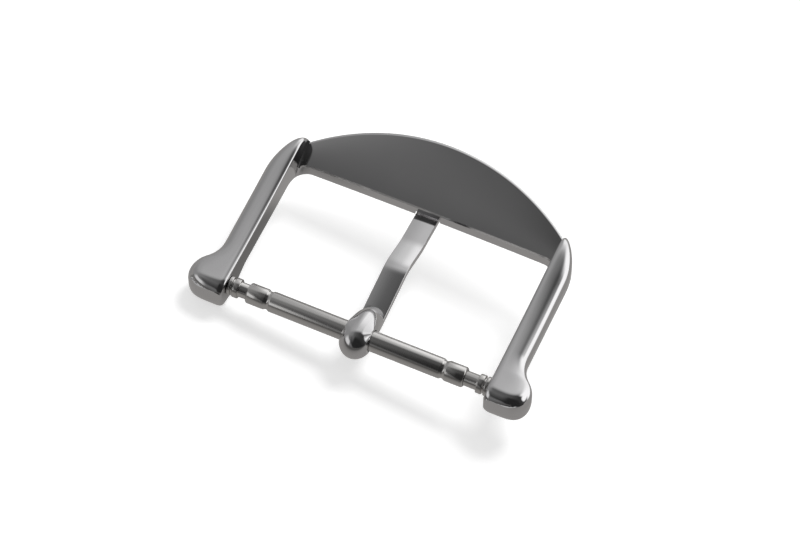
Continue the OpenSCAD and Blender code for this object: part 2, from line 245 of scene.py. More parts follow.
def turned(name, profile, segments):
    """A solid of revolution about X from (x, radius) points, closed on the axis or as a ring."""
    on_axis = profile[0][1] == 0 and profile[-1][1] == 0
    points, faces, rows = [], [], []
    for x, r in profile:
        if r == 0:
            rows.append([len(points)] * segments)
            points.append((x, 0.0, 0.0))
        else:
            rows.append([len(points) + k for k in range(segments)])
            for k in range(segments):
                a = 2 * math.pi * k / segments
                points.append((x, r * math.cos(a), r * math.sin(a)))
    count = len(rows) - 1 if on_axis else len(rows)
    for i in range(count):
        a, b = rows[i], rows[(i + 1) % len(rows)]
        for k in range(segments):
            k2 = (k + 1) % segments
            face = []
            for v in (a[k], b[k], b[k2], a[k2]):
                if v not in face:
                    face.append(v)
            if len(face) > 2:
                faces.append(tuple(face))
    obj = object_from(name, points, faces)
    outward(obj)
    return obj


def rounded(corners, radius, steps=3):
    """Rounds every inner corner of an (x, r) profile by cutting it with a small arc."""
    out = [corners[0]]
    for a, b, c in zip(corners, corners[1:], corners[2:]):
        a, b, c = (np.array(p, float) for p in (a, b, c))
        la, lc = np.linalg.norm(a - b), np.linalg.norm(c - b)
        cosine = np.dot(a - b, c - b) / max(la * lc, 1e-9)
        if la < 1e-6 or lc < 1e-6 or cosine < -0.97:
            out.append(tuple(b))
            continue
        d = min(radius, la * 0.45, lc * 0.45)
        p, q = b + (a - b) / la * d, b + (c - b) / lc * d
        for i in range(steps + 1):
            t = i / steps
            out.append(tuple((1 - t) ** 2 * p + 2 * t * (1 - t) * b + t * t * q))
    out.append(corners[-1])
    return out


# Frame

class FrameShape:
    """The plan and the levels of the frame, in millimetres, as the solids have them."""

    proud = 0.03  # the arms below the plate's outer side
    fillet = 1.0  # radius in the opening's inner corners
    tip_w = 0.12  # width of an arm where it runs out at the rim
    arm_rise = 0.03  # from the lugs to the plate
    arm_fall = 1.4  # where the arms run out at the rim
    arm_deepen = 0.32  # below the bar's axis, from the lugs to the plate
    bulge = 0.2  # a lug's side, out beyond its crease
    corner_r = 0.2  # inner corners of the lugs' ends, in plan
    hole_r, hole_depth = 0.45, 0.98  # for the spring bar's tips
    dome_len, dome_power, dome_blend = 1.0, 2.6, 0.3  # fall of a lug's top to its crease
    inner_start, inner_lean = 0.35, 0.6  # fall of a lug's top to its inner corner
    seam_z = -0.1  # level where the upper and the lower half of a section meet
    crown_power, under_power = 2.9, 4.5  # superellipses of the arms' tops and undersides
    arm_low_edge, lug_low_edge = 0.12, 0.38  # rounding of the lower inner edges; the lugs' adds to the arms'
    top_corner_x, top_corner_y = 0.95, 0.42  # the opening's corners on the wrist side
    bow_level = 0.7  # share of the straight edge's bow that lies beyond the opening's length
    notch_half, notch_roof, notch_depth = 0.98, -1.465, 3

    def __init__(self, s):
        self.half_w = s.strap_w / MM / 2
        self.open_y = s.opening_len / MM
        self.rim_r = s.rim_r / MM
        self.rim_y = self.open_y + s.plate_depth / MM - self.rim_r
        self.slope = math.tan(s.plate_tilt)
        self.edge_drop = s.edge_drop / MM
        self.under_edge = self.edge_drop + s.plate_t / MM / math.cos(s.plate_tilt)
        self.arm_out = self.half_w + s.arm_w / MM
        self.arm_top = s.arm_top / MM
        self.arm_under = s.arm_under / MM
        self.swell = s.lug_swell / MM
        self.lug_out = self.arm_out + self.swell
        self.end = s.lug_end / MM
        self.lug_under = s.lug_under / MM
        self.lug_r = s.lug_r / MM
        self.lug_y = self.lug_r - self.end
        self.knob_r = s.knob_r / MM
        self.neck_r = s.neck_r / MM
        self.neck_y = self.lug_y + math.sqrt(self.swell * (2 * (self.knob_r + self.neck_r) - self.swell))
        self.turn_y = self.lug_y + (self.neck_y - self.lug_y) * self.knob_r / (self.knob_r + self.neck_r)
        self.crease_z = s.crease_z / MM
        self.crease_y = -self.end_at(self.crease_z)
        self.sag = s.arm_sag / MM
        self.edge_w = s.edge_w / MM
        self.edge_h = s.edge_h / MM
        self.shoulder_r = s.shoulder_r / MM
        self.shoulder_x = self.arm_out - self.shoulder_r
        self.arm_end = self.rim_at(self.half_w) + 0.05
        self.shoulder_y = self.arm_end - math.sqrt(
            self.shoulder_r ** 2 - (self.half_w + self.tip_w - self.shoulder_x) ** 2)

    def end_at(self, z):
        """How far the lug's end reaches at the level z."""
        return self.end * max(0.0, 1 - (z / self.lug_under) ** 4) ** 0.25

    def end_z(self, y):
        """Half height of the lug's end at y."""
        return self.lug_under * max(0.0, 1 - (y / self.end) ** 4) ** 0.25

    def creased(self, y):
        """How much of the lug's creased end a section has, from 1 down to 0."""
        return float(ease((1.0 - y) / 2))

    def inner_x(self, y):
        """The lug's rounded inner corner, out from the inner wall."""
        past = min(1.0, max(0.0, 1 - (y + self.end) / self.corner_r))
        return self.corner_r * (1 - math.sqrt(1 - past ** 2))

    def fall(self, x, y):
        """How far the lug's top has fallen at x outwards from the inner wall, towards the crease."""
        side = self.outer_x(y) - self.half_w - self.bulge - x
        ahead = y - self.crease_y
        inner = x + self.inner_start + self.inner_lean * ahead
        soft = self.dome_blend
        gap = -soft * math.log(sum(math.exp(-part / soft) for part in (ahead, side, inner)))
        height = self.top_z(self.crease_y + 0.001) - self.crease_z
        return height * max(0.0, 1 - max(0.0, gap) / self.dome_len) ** self.dome_power

    def outer_x(self, y):
        """Outer edge in plan: the lug's corner, its knob, the hollow, the arm and the shoulder."""
        if y < self.lug_y:
            return self.lug_out - self.lug_r + math.sqrt(max(0.0, self.lug_r ** 2 - (y - self.lug_y) ** 2))
        if y < self.turn_y:
            return self.lug_out - self.knob_r + math.sqrt(self.knob_r ** 2 - (y - self.lug_y) ** 2)
        if y < self.neck_y:
            return self.arm_out + self.neck_r - math.sqrt(self.neck_r ** 2 - (y - self.neck_y) ** 2)
        if y < self.shoulder_y:
            return self.arm_out
        return self.shoulder_x + math.sqrt(max(0.0, self.shoulder_r ** 2 - (y - self.shoulder_y) ** 2))

    def top_z(self, y):
        """Upper edge of the arm and its lug."""
        if y < self.crease_y:
            return self.end_z(y)
        near = self.open_y - 2 * self.fillet
        s = y / near
        z = self.arm_top + self.arm_rise * s - 4 * self.sag * (1 - s) * min(s, 1.0)
        return z - self.arm_fall * max(0.0, (y - near) / (self.arm_end - near)) ** 7

    def arm_under_z(self, y):
        return -self.arm_under - self.arm_deepen * max(0.0, y) / (self.open_y - self.fillet)

    def under_z(self, y):
        """Lower edge of the arm and its lug, and the plate's outer side further on."""
        if y < 0:
            return -self.end_z(y)
        if y < self.open_y:
            z = self.arm_under_z(y) - (self.lug_under - self.arm_under) * float(ease(1 - y / self.neck_y))
            return z - (self.under_edge + self.proud + self.arm_under_z(self.open_y)) * float(
                ease(1 + (y - self.open_y) / (2 * self.fillet)))
        return -self.under_edge - self.proud + (y - self.open_y) * self.slope

    def inner_z(self, y):
        """Level of the plate's face on the wrist side."""
        return -self.edge_drop + (y - self.open_y) * self.slope

    def rim_at(self, x):
        return self.rim_y + math.sqrt(self.rim_r ** 2 - x * x)


def arm_section(f, y, inner_n=9, top_n=18, wall_n=12, low_n=24):
    """One closed section of an arm: crowned, with a rounded inner edge, and creased round the lug's end."""
    a = f.outer_x(y) - f.half_w
    top, under, k = f.top_z(y), f.under_z(y), f.creased(y)
    left = f.inner_x(y)
    w, h = min(f.edge_w, 0.4 * (a - left)), min(f.edge_h, 0.4 * top)
    bulge, crease = min(a, f.bulge), min(top, f.crease_z)
    power, seam = f.crown_power, f.seam_z

    def crown(x):
        return seam + (top - seam) * max(0.0, 1 - (x / a) ** power) ** (1 / power)

    def dome(x):
        return top - f.fall(x, y) if y > f.crease_y else crease

    ring = []
    for i in range(inner_n + 1):
        t = math.pi / 2 * i / inner_n
        x = left + w * (1 - math.cos(t))
        ring.append((x, crown(x) + k * (dome(x) - crown(x)) - h * (1 - math.sin(t))))
    start = math.asin(((left + w) / a) ** (power / 2))
    steps = top_n + wall_n
    for i in range(1, steps + 1):
        t = start + (math.pi / 2 - start) * i / steps
        cx = a * math.sin(t) ** (2 / power)
        cz = seam + (top - seam) * max(0.0, math.cos(t)) ** (2 / power)
        if i > top_n:
            u = (i - top_n) / wall_n
            gx, gz = a - bulge * (crease / f.crease_z * (1 - u)) ** 2, crease * (1 - u) + seam * u
        else:
            gx = left + w + (a - bulge - left - w) * i / top_n
            gz = dome(gx)
        ring.append((cx + k * (gx - cx), cz + k * (gz - cz)))
    power = f.under_power
    low_r = min(f.arm_low_edge + f.lug_low_edge * k, 0.5 * (a - left), 0.5 * -under)
    for i in range(1, low_n + 1):
        t = math.pi / 2 * i / low_n
        x = left + low_r + (a - left - low_r) * max(0.0, math.cos(t)) ** (2 / power)
        ring.append((x, seam + (under - seam) * math.sin(t) ** (2 / power)))
    for i in range(1, inner_n + 1):
        t = math.pi / 2 * i / inner_n
        ring.append((left + low_r * (1 - math.sin(t)), under + low_r * (1 - math.cos(t))))
    return [(f.half_w + x, y, z) for x, z in ring]


def arm_stations(f, end_n=8, lug_n=36, neck_n=40, arm_n=24, shoulder_n=50):
    """Where the arm's sections stand along Y: closer together where it curves more."""
    near = f.open_y - 2 * f.fillet
    ys = [-f.end_at(f.crease_z * (0.15 + 0.85 * i / end_n)) for i in range(end_n + 1)]
    ys += [f.crease_y + (f.lug_y - f.crease_y) * (i / lug_n) ** 1.3 for i in range(1, lug_n + 1)]
    ys += [f.lug_y + (f.neck_y - f.lug_y) * i / neck_n for i in range(1, neck_n + 1)]
    ys += [f.neck_y + (near - f.neck_y) * i / arm_n for i in range(1, arm_n + 1)]
    return ys + [near + (f.arm_end - near) * math.sin(math.pi / 2 * i / shoulder_n)
                 for i in range(1, shoulder_n + 1)]


def rounding(p, corner, q, steps):
    """Points from p to q on an arc that is drawn towards the corner."""
    out = []
    for i in range(steps + 1):
        t = i / steps
        out.append(tuple((1 - t) ** 2 * a + 2 * t * (1 - t) * b + t * t * c for a, b, c in zip(p, corner, q)))
    return out


def plate_ring(f, x, bow, bevel, chamfer=0.08, edge=0.22, blend=0.02, lip=0.05):
    """Section of the plate at x: wrist side, rim, outer side and straight edge."""
    start = f.half_w - f.top_corner_x
    u = min(1.0, max(0.0, (abs(x) - start) / (f.half_w - start)))
    straight = f.open_y + bow * (f.bow_level - (x / f.half_w) ** 2)
    y_top = straight - f.top_corner_y * (1 - math.sqrt(1 - u * u))
    v = min(1.0, max(0.0, (abs(x) - f.half_w + f.fillet) / f.fillet))
    y_low = straight - f.fillet * (1 - math.sqrt(1 - v * v))
    rim = f.rim_at(x)

    def outer_z(y):
        return f.under_z(y) + f.proud

    ring = [(y_top, f.inner_z(y_top) - chamfer), (y_top + chamfer, f.inner_z(y_top + chamfer))]
    # The rim's chamfer on the wrist side, with a small blend before it and a rounded lip after it
    high, lean = f.inner_z(rim - bevel), math.tan(math.radians(14))
    ring += [(rim - bevel - blend, high - blend * f.slope), (rim - bevel + blend, high - blend * lean)]
    ring += rounding((rim - lip, high - (bevel - lip) * lean), (rim, high - bevel * lean),
                     (rim, high - bevel * lean - 0.08), 4)
    # The rounded edges of the outer side
    ring += rounding((rim, outer_z(rim) + edge), (rim, outer_z(rim)), (rim - edge, outer_z(rim - edge)), 6)
    ring += rounding((y_low + edge, outer_z(y_low + edge)), (y_low, outer_z(y_low)),
                     (y_low, outer_z(y_low) + edge), 5)
    return [(x, y, z) for y, z in ring]


def plate_stations(f, corner_n=24, middle_n=60):
    """Where the plate's sections stand along X, from arm to arm and just into the arms."""
    corner = np.array([1 - (1 - i / corner_n) ** 2 for i in range(1, corner_n + 1)])
    xs = np.concatenate([np.linspace(0, f.half_w - f.fillet, middle_n),
                         f.half_w - f.fillet + f.fillet * 0.9995 * corner, [f.half_w + 0.07]])
    return np.concatenate([-xs[:0:-1], xs])


def plate_fillet(f, r=0.13, sunk=0.03):
    """A small fillet where the plate runs into the right arm's inner wall."""
    rings = []
    for y in np.linspace(f.open_y - 0.3, f.arm_end - 0.02, 40):
        z = f.inner_z(y)
        ring = [(f.half_w - r, z - sunk)]
        for t in np.linspace(0, math.pi / 2, 7):
            ring.append((f.half_w - r + r * math.sin(t), z + r - r * math.cos(t)))
        ring += [(f.half_w + sunk, z + r), (f.half_w + sunk, z - sunk)]
        rings.append([(x, y, level) for x, level in ring])
    return loft("fillet_right", rings)


def build_frame(s):
    f = FrameShape(s)
    right = loft("arm_right", [arm_section(f, y) for y in arm_stations(f)])
    mouth, end = f.half_w - 1, f.half_w + f.hole_depth
    cut(right, turned("bore", [(mouth, 0), (mouth, f.hole_r), (end, f.hole_r), (end, 0)], 96))
    left = mirrored(right, "arm_left")
    bow, bevel = s.edge_bow / MM, s.rim_bevel / MM
    plate = loft("plate", [plate_ring(f, float(x), bow, bevel) for x in plate_stations(f)])
    cut(plate, block("notch", (-f.notch_half, f.notch_half), (f.open_y - 1, f.open_y + f.notch_depth),
                     (f.notch_roof - 3, f.notch_roof)))
    fillet = plate_fillet(f)
    body = joined([plate, right, left, fillet, mirrored(fillet, "fillet_left")], "polished_frame")
    smooth(body, 28)
    return body


# Tang

class TangShape:
    """Side view of the tang's strip, in millimetres."""

    drop = 0.96  # middle of the strip below the bar's axis, under the eye
    tip_past = 1.3  # past the plate's straight edge
    rise = 0.12  # slope from the eye up to the crest
    tip_slope = -0.13
    knees = (0.14, 0.19, 0.514, 0.6, 0.736, 0.805)  # where the slope changes, as shares of the opening

    def __init__(self, s, open_y):
        self.bore_r = s.bore_r / MM
        self.t = s.thickness / MM
        self.w = s.width / MM
        self.start = self.bore_r * 0.75
        self.end = open_y + self.tip_past
        step = math.tan(s.step)
        self.bends = [open_y * k for k in self.knees]
        self.slopes = [-self.rise, self.rise, self.rise, -step, -step, self.tip_slope]
        self.ys = np.linspace(0, self.end + 1, 700)
        slope = np.interp(self.ys, self.bends, self.slopes)
        self.zs = np.concatenate([[0], np.cumsum((slope[1:] + slope[:-1]) / 2 * np.diff(self.ys))]) - self.drop

    def z(self, y):
        """Level of the strip's middle."""
        return float(np.interp(y, self.ys, self.zs))

    def normal(self, y):
        """The strip's upward normal, as its Y and its Z."""
        slope = float(np.interp(y, self.bends, self.slopes))
        size = math.hypot(1, slope)
        return -slope / size, 1 / size


def tang_ring(t, y, edge=0.045):
    """Rounded rectangle across the strip at y, narrower where the tip is rounded."""
    tip_r = t.w * 0.7
    half = t.w / 2
    past = y - (t.end - tip_r)
    if past > 0:
        half = min(half, math.sqrt(max(tip_r ** 2 - past ** 2, 0.0)))
    ny, nz = t.normal(y)
    deep, r = t.t / 2, min(edge, half * 0.5)
    flat = []
    for sx, sz in ((1, 1), (1, -1), (-1, -1), (-1, 1)):
        corner = rounding((sx * (half - r), sz * deep), (sx * half, sz * deep), (sx * half, sz * (deep - r)), 3)
        flat += corner if sx * sz > 0 else corner[::-1]
    return [(x, y + ny * h, t.z(y) + nz * h) for x, h in flat]


def eye_points(s, t, barrel_r=0.95, tail_len=0.7, tail_t=0.08):
    """Points whose hull is the eye: a dome that runs back in a rounded ridge, and a thin tail on the strip."""
    half, top, front, back = s.eye_w / MM / 2, s.eye_top / MM, s.eye_front / MM, s.eye_back / MM
    wide, middle, waist, ridge = half * 1.14, top - front, -0.1, back - 0.15
    points = []
    # Dome in front of the bar, wider than the eye's flat sides
    for a in np.linspace(0, math.pi, 97):
        for b in np.linspace(0, 2 * math.pi, 193)[:-1]:
            points.append((wide * math.cos(a), middle + top * math.sin(a) * math.cos(b),
                           top * math.sin(a) * math.sin(b)))
    # Ridge that falls from the dome to the strip
    power = 1.6
    for u in np.sin(np.linspace(0, math.pi / 2, 49)):
        w = wide * math.sqrt(1 - 0.97 * u * u)
        crest = (top - waist) * max(0.0, 1 - u ** power) ** (1 / power)
        for a in np.linspace(0, math.pi, 73):
            points.append((w * math.cos(a), middle + ridge * u, waist + crest * math.sin(a)))
    # Barrel round the bore
    for x in (-half * 0.9, half * 0.9):
        for b in np.linspace(0, 2 * math.pi, 129)[:-1]:
            points.append((x, barrel_r * math.cos(b), barrel_r * math.sin(b)))
    # Tail on the strip, and the strip's own thickness under the ridge
    tail_y = back - tail_len
    ny, nz = t.normal(tail_y)
    for a in np.linspace(0, math.pi, 13):
        for b in np.linspace(0, 2 * math.pi, 65)[:-1]:
            along, lift = tail_len * math.sin(a) * math.cos(b), tail_t * math.cos(a)
            points.append(((t.w / 2 - 0.05) * math.sin(a) * math.sin(b), tail_y + along * nz + lift * ny,
                           t.z(tail_y) + t.t / 2 - along * ny + lift * nz))
    low = t.z(back)
    points += [(x, y, z) for x in (-t.w / 2, t.w / 2) for y in (t.bore_r, tail_y)
               for z in (low - t.t / 4, low + t.t / 4)]
    return points


def hull(name, points):
    """The convex solid round the points."""
    bm = bmesh.new()
    for point in points:
        bm.verts.new(point)
    result = bmesh.ops.convex_hull(bm, input=bm.verts)
    bmesh.ops.delete(bm, geom=list({e for e in result["geom_interior"] + result["geom_unused"]
                                    if isinstance(e, bmesh.types.BMVert)}), context="VERTS")
    for v in bm.verts:
        v.co *= MM
    obj = bpy.data.objects.new(name, bpy.data.meshes.new(name))
    bm.to_mesh(obj.data)
    bm.free()
    bpy.context.scene.collection.objects.link(obj)
    outward(obj)
    return obj


def build_tang(s, strip_n=110):
    t = TangShape(s, FrameShape(sizes("buckle_frame_sizes")).open_y)
    body = t.end - 0.02 - t.start
    ys = [t.start + body * math.sin(math.pi / 2 * i / strip_n) for i in range(strip_n + 1)]
    strip = loft("strip", [tang_ring(t, y) for y in ys])
    eye = hull("eye", eye_points(s, t))
    # Flat sides on the eye
    half = s.eye_w / MM / 2
    for side in (-1, 1):
        cut(eye, block("slab", sorted((side * half, side * (half + 2))), (-4, 5), (-4, 4)))
    mod = strip.modifiers.new("join", "BOOLEAN")
    mod.operation, mod.solver, mod.object = "UNION", "EXACT", eye
    apply_modifiers(strip)
    bpy.data.objects.remove(eye)
    cut(strip, turned("bore", [(-3, 0), (-3, t.bore_r), (3, t.bore_r), (3, 0)], 160))
    strip.name = strip.data.name = "bent_tang"
    smooth(strip, 24)
    return strip


# Spring bar

class BarShape:
    """Stations of the spring bar along X, in millimetres."""

    face_gap = 0.04  # between moving faces
    fit = 0.03  # of the pins and the spring in the tube
    crimp_w, crimp_depth, crimp_inset = 0.5, 0.1, 1.6
    mouth_gap, mouth = 1.67, 0.12  # from a lug to the tube, and the rounding of the tube's mouths
    collar_t, grip_gap, flange_t = 0.26, 0.14, 0.42
    tip_len, head_len = 0.72, 0.8
    travel, give = 0.72, 0.18  # a pressed pin, and the tube that follows it
    edge = 0.06  # rounding of the pins' edges

    def __init__(self, s, half_w):
        self.r = s.tube_d / MM / 2
        self.in_r = self.r - s.wall / MM
        self.drift = s.drift / MM
        self.half = half_w - self.mouth_gap
        self.pin_r = self.in_r - self.fit
        self.waist_r = self.in_r - self.crimp_depth - self.fit
        self.collar = half_w - self.face_gap
        self.flange_out = self.collar - self.collar_t - self.grip_gap
        self.flange_in = self.flange_out - self.flange_t
        self.crimp_x = self.half - self.crimp_inset
        self.neck_in = (self.crimp_x + abs(self.drift) + self.crimp_w / 2 + self.travel + self.give
                        + self.face_gap)
        self.head_out = self.crimp_x - abs(self.drift) - self.crimp_w / 2 - self.face_gap
        self.head_in = self.head_out - self.head_len
        self.flange_r = s.flange_d / MM / 2
        self.tip_r = s.tip_d / MM / 2
        self.wire_r = s.wire_d / MM / 2
        self.coil_r = self.in_r - self.fit - self.wire_r


def groove(x, r, depth, width, steps=12):
    """A rolled groove: a smooth dip in the radius."""
    out = []
    for i in range(steps + 1):
        u = -1 + 2 * i / steps
        out.append((x + u * width / 2, r - depth * (0.5 + 0.5 * math.cos(math.pi * u)) ** 0.8))
    return out


def build_tube(s, half_w):
    b = BarShape(s, half_w)
    ends = [(-b.half, b.in_r), (-b.half, b.r - b.mouth), (-b.half + b.mouth * 0.35, b.r - b.mouth * 0.4),
            (-b.half + b.mouth, b.r)]

    def grooves(r):
        return [p for x in (-b.crimp_x, b.crimp_x) for p in groove(x, r, b.crimp_depth, b.crimp_w)]

    left = rounded(ends, 0.05)
    profile = left + grooves(b.r) + [(-x, r) for x, r in left[::-1]] + grooves(b.in_r)[::-1]
    tube = turned("turned_tube", [(x + b.drift, r) for x, r in profile], s.segments)
    smooth(tube, 40)
    return tube


def build_pin(s, half_w, side):
    """A pin from its tip inwards: tip, collar, grip groove, flange, neck, waist and head."""
    b = BarShape(s, half_w)
    tip, collar_in = b.collar + b.tip_len, b.collar - b.collar_t
    corners = [(tip, 0), (tip, b.tip_r), (b.collar, b.tip_r), (b.collar, b.flange_r),
               (collar_in, b.flange_r), (collar_in, b.pin_r), (b.flange_out, b.pin_r),
               (b.flange_out, b.flange_r), (b.flange_in, b.flange_r), (b.flange_in, b.pin_r),
               (b.neck_in, b.pin_r), (b.neck_in - b.edge, b.waist_r), (b.head_out, b.waist_r),
               (b.head_out, b.pin_r), (b.head_in, b.pin_r), (b.head_in, 0)]
    pin = turned("pin_right_turned" if side > 0 else "pin_left_turned",
                 [(side * x, r) for x, r in rounded(corners, b.edge)], s.segments)
    smooth(pin, 40)
    return pin


# Nodes

UNDER, OVER, BLENDED = 6, 7, 2  # sockets of a Mix node that blends colours


def node(tree, kind, **values):
    """A new node. A value named in_ sets an input, by its number or its name."""
    n = tree.nodes.new(kind)
    for key, value in values.items():
        if key.startswith("in_"):
            n.inputs[int(key[3:]) if key[3:].isdigit() else key[3:].replace("_", " ")].default_value = value
        else:
            setattr(n, key, value)
    return n


def connect(tree, *links):
    """Links sockets, each given as a node, its output, the next node and its input."""
    for source, output, target, socket in links:
        tree.links.new(source.outputs[output], target.inputs[socket])


def arrange(tree, across=240, down=320):
    """Sets the nodes out in columns, by how many links they stand before the last one."""
    column = {n.name: 0 for n in tree.nodes}
    for _ in tree.nodes:
        for link in tree.links:
            before, after = link.from_node.name, link.to_node.name
            column[before] = max(column[before], column[after] + 1)
    filled = dict.fromkeys(column.values(), 0)
    for n in tree.nodes:
        n.location = (-across * column[n.name], -down * filled[column[n.name]])
        filled[column[n.name]] += 1


def mix(tree, under=(0, 0, 0), over=(0, 0, 0)):
    """A node that blends two colours."""
    n = node(tree, "ShaderNodeMix", data_type="RGBA")
    n.inputs[UNDER].default_value, n.inputs[OVER].default_value = (*under, 1), (*over, 1)
    return n


def eased(tree, start, end, low=0.0, high=1.0):
    """A node that eases from low to high while its value goes from start to end."""
    n = node(tree, "ShaderNodeMapRange", interpolation_type="SMOOTHSTEP")
    for label, value in zip(("From Min", "From Max", "To Min", "To Max"), (start, end, low, high)):
        n.inputs[label].default_value = value
    return n


def group(name, inputs, outputs):
    """A shader node group with its input and output nodes."""
    tree = bpy.data.node_groups.new(name, "ShaderNodeTree")
    for label, kind, default in inputs:
        tree.interface.new_socket(label, in_out="INPUT", socket_type=kind).default_value = default
    for label, kind in outputs:
        tree.interface.new_socket(label, in_out="OUTPUT", socket_type=kind)
    return tree, node(tree, "NodeGroupInput"), node(tree, "NodeGroupOutput")


# The spring

def spring_tree():
    """Geometry nodes: a wire wound on a spiral curve along X, from Start on."""
    tree = bpy.data.node_groups.new("coil_spring", "GeometryNodeTree")
    face = tree.interface
    face.new_socket("Geometry", in_out="INPUT", socket_type="NodeSocketGeometry")
    for name, kind in (("Turns", "NodeSocketFloat"), ("Coil radius", "NodeSocketFloat"),
                       ("Length", "NodeSocketFloat"), ("Start", "NodeSocketFloat"),
                       ("Wire radius", "NodeSocketFloat"), ("Material", "NodeSocketMaterial")):
        face.new_socket(name, in_out="INPUT", socket_type=kind)
    face.new_socket("Geometry", in_out="OUTPUT", socket_type="NodeSocketGeometry")
    given = node(tree, "NodeGroupInput")
    spiral = node(tree, "GeometryNodeCurveSpiral", in_Resolution=24)
    wire = node(tree, "GeometryNodeCurvePrimitiveCircle", in_Resolution=10)
    sweep = node(tree, "GeometryNodeCurveToMesh", in_Fill_Caps=True)
    turn = node(tree, "GeometryNodeTransform", in_Rotation=(0, math.pi / 2, 0))
    place = node(tree, "ShaderNodeCombineXYZ")
    shade = node(tree, "GeometryNodeSetShadeSmooth")
    real = node(tree, "GeometryNodeRealizeInstances")
    paint = node(tree, "GeometryNodeSetMaterial")
    out = node(tree, "NodeGroupOutput")
    connect(tree, (given, "Turns", spiral, "Rotations"), (given, "Coil radius", spiral, "Start Radius"),
            (given, "Coil radius", spiral, "End Radius"), (given, "Length", spiral, "Height"),
            (given, "Wire radius", wire, "Radius"), (given, "Start", place, "X"),
            (spiral, "Curve", sweep, "Curve"), (wire, "Curve", sweep, "Profile Curve"),
            (sweep, "Mesh", turn, "Geometry"), (place, "Vector", turn, "Translation"),
            (turn, "Geometry", shade, "Geometry"), (shade, "Geometry", real, "Geometry"),
            (real, "Geometry", paint, "Geometry"), (given, "Material", paint, "Material"),
            (paint, "Geometry", out, "Geometry"))
    arrange(tree)
    return tree


def build_spring(s, half_w, material, side):
    """Half of the spring, from the middle of the bar to one pin's head."""
    b = BarShape(s, half_w)
    reach = (b.head_in - b.wire_r) * MM
    obj = object_from("spring_right" if side > 0 else "spring_left", [(0, 0, 0)], [])
    mod = obj.modifiers.new("wind", "NODES")
    mod.node_group = bpy.data.node_groups.get("coil_spring") or spring_tree()
    given = {"Turns": s.turns / 2, "Coil radius": b.coil_r * MM, "Length": reach, "Start": min(0, side * reach),
             "Wire radius": b.wire_r * MM, "Material": material}
    for item in mod.node_group.interface.items_tree:
        if item.in_out == "INPUT" and item.name in given:
            mod[item.identifier] = given[item.name]
    apply_modifiers(obj)
    return obj


# Finishes

def handling_marks():
    """Fine hairlines and a faint haze, as handled polished steel has them."""
    tree, given, out = group("handling_marks", [
        ("Vector", "NodeSocketVector", (0, 0, 0)), ("Roughness", "NodeSocketFloat", 0.1),
        ("Haze", "NodeSocketFloat", 0.03)],
        [("Roughness", "NodeSocketFloat"), ("Height", "NodeSocketFloat"), ("Tone", "NodeSocketFloat")])
    hair_map = node(tree, "ShaderNodeMapping", in_Scale=(9000, 900, 3000), in_Rotation=(0.2, 0.3, 0.5))
    hair = node(tree, "ShaderNodeTexNoise", in_Scale=1.0, in_Detail=3.0)
    haze_map = node(tree, "ShaderNodeVectorMath", operation="SCALE", in_Scale=420.0)
    haze = node(tree, "ShaderNodeTexNoise", in_Scale=1.0, in_Detail=4.0)
    spread = node(tree, "ShaderNodeMath", operation="SUBTRACT", in_1=0.5)
    amount = node(tree, "ShaderNodeMath", operation="MULTIPLY")
    total = node(tree, "ShaderNodeMath", operation="ADD")
    connect(tree, (given, "Vector", hair_map, "Vector"), (hair_map, 0, hair, "Vector"),
            (given, "Vector", haze_map, 0), (haze_map, 0, haze, "Vector"), (haze, 0, spread, 0),
            (spread, 0, amount, 0), (given, "Haze", amount, 1), (amount, 0, total, 0),
            (given, "Roughness", total, 1), (total, 0, out, "Roughness"), (hair, 0, out, "Height"),
            (haze, 0, out, "Tone"))
    arrange(tree)
    return tree


def lathe_rings():
    """Fine rings round the X axis, as a lathe leaves them."""
    tree, given, out = group("lathe_rings", [("Vector", "NodeSocketVector", (0, 0, 0))],
                             [("Height", "NodeSocketFloat")])
    rings_map = node(tree, "ShaderNodeMapping", in_Scale=(16000, 120, 120))
    rings = node(tree, "ShaderNodeTexNoise", in_Scale=1.0, in_Detail=4.0, in_Roughness=0.7)
    connect(tree, (given, "Vector", rings_map, "Vector"), (rings_map, 0, rings, "Vector"),
            (rings, 0, out, "Height"))
    arrange(tree)
    return tree


def steel(name, base, roughness, marks, relief, relief_strength):
    """Steel with handling marks, and with the relief of a second group, or of the marks themselves."""
    mat = bpy.data.materials.new(name)
    mat.use_nodes = True
    tree = mat.node_tree
    bsdf = tree.nodes["Principled BSDF"]
    bsdf.inputs["Metallic"].default_value = 1.0
    place = node(tree, "ShaderNodeTexCoord")
    use = node(tree, "ShaderNodeGroup", node_tree=marks, in_Roughness=roughness, in_Haze=0.05)
    raised = use if relief is marks else node(tree, "ShaderNodeGroup", node_tree=relief)
    tone = mix(tree, [c * 0.96 for c in base], [min(1, c * 1.03) for c in base])
    bump = node(tree, "ShaderNodeBump", in_Strength=relief_strength, in_Distance=0.00002)
    connect(tree, (place, "Object", use, "Vector"), (place, "Object", raised, "Vector"), (use, "Tone", tone, 0),
            (tone, BLENDED, bsdf, "Base Color"), (use, "Roughness", bsdf, "Roughness"),
            (raised, "Height", bump, "Height"), (bump, 0, bsdf, "Normal"))
    arrange(tree)
    return mat


class Workshop:
    """Materials that the pieces share, made once."""

    made = {}

    @classmethod
    def finish(cls, name):
        if not cls.made:
            look = sizes("buckle_finishes")
            marks, rings = handling_marks(), lathe_rings()
            hairlines, ringed = (marks, marks, 0.02), (marks, rings, 0.12)
            cls.made = {
                "frame": steel("polished_frame_steel", look.polished, look.polish_roughness, *hairlines),
                "tang": steel("polished_tang_steel", look.polished, look.polish_roughness * 0.9, *hairlines),
                "tube": steel("turned_tube_steel", look.turned, look.turned_roughness, *ringed),
                "pin": steel("turned_pin_steel", look.turned, look.turned_roughness * 0.8, *ringed),
                "wire": steel("spring_wire_steel", look.wire, look.wire_roughness, *ringed),
            }
        return cls.made[name]


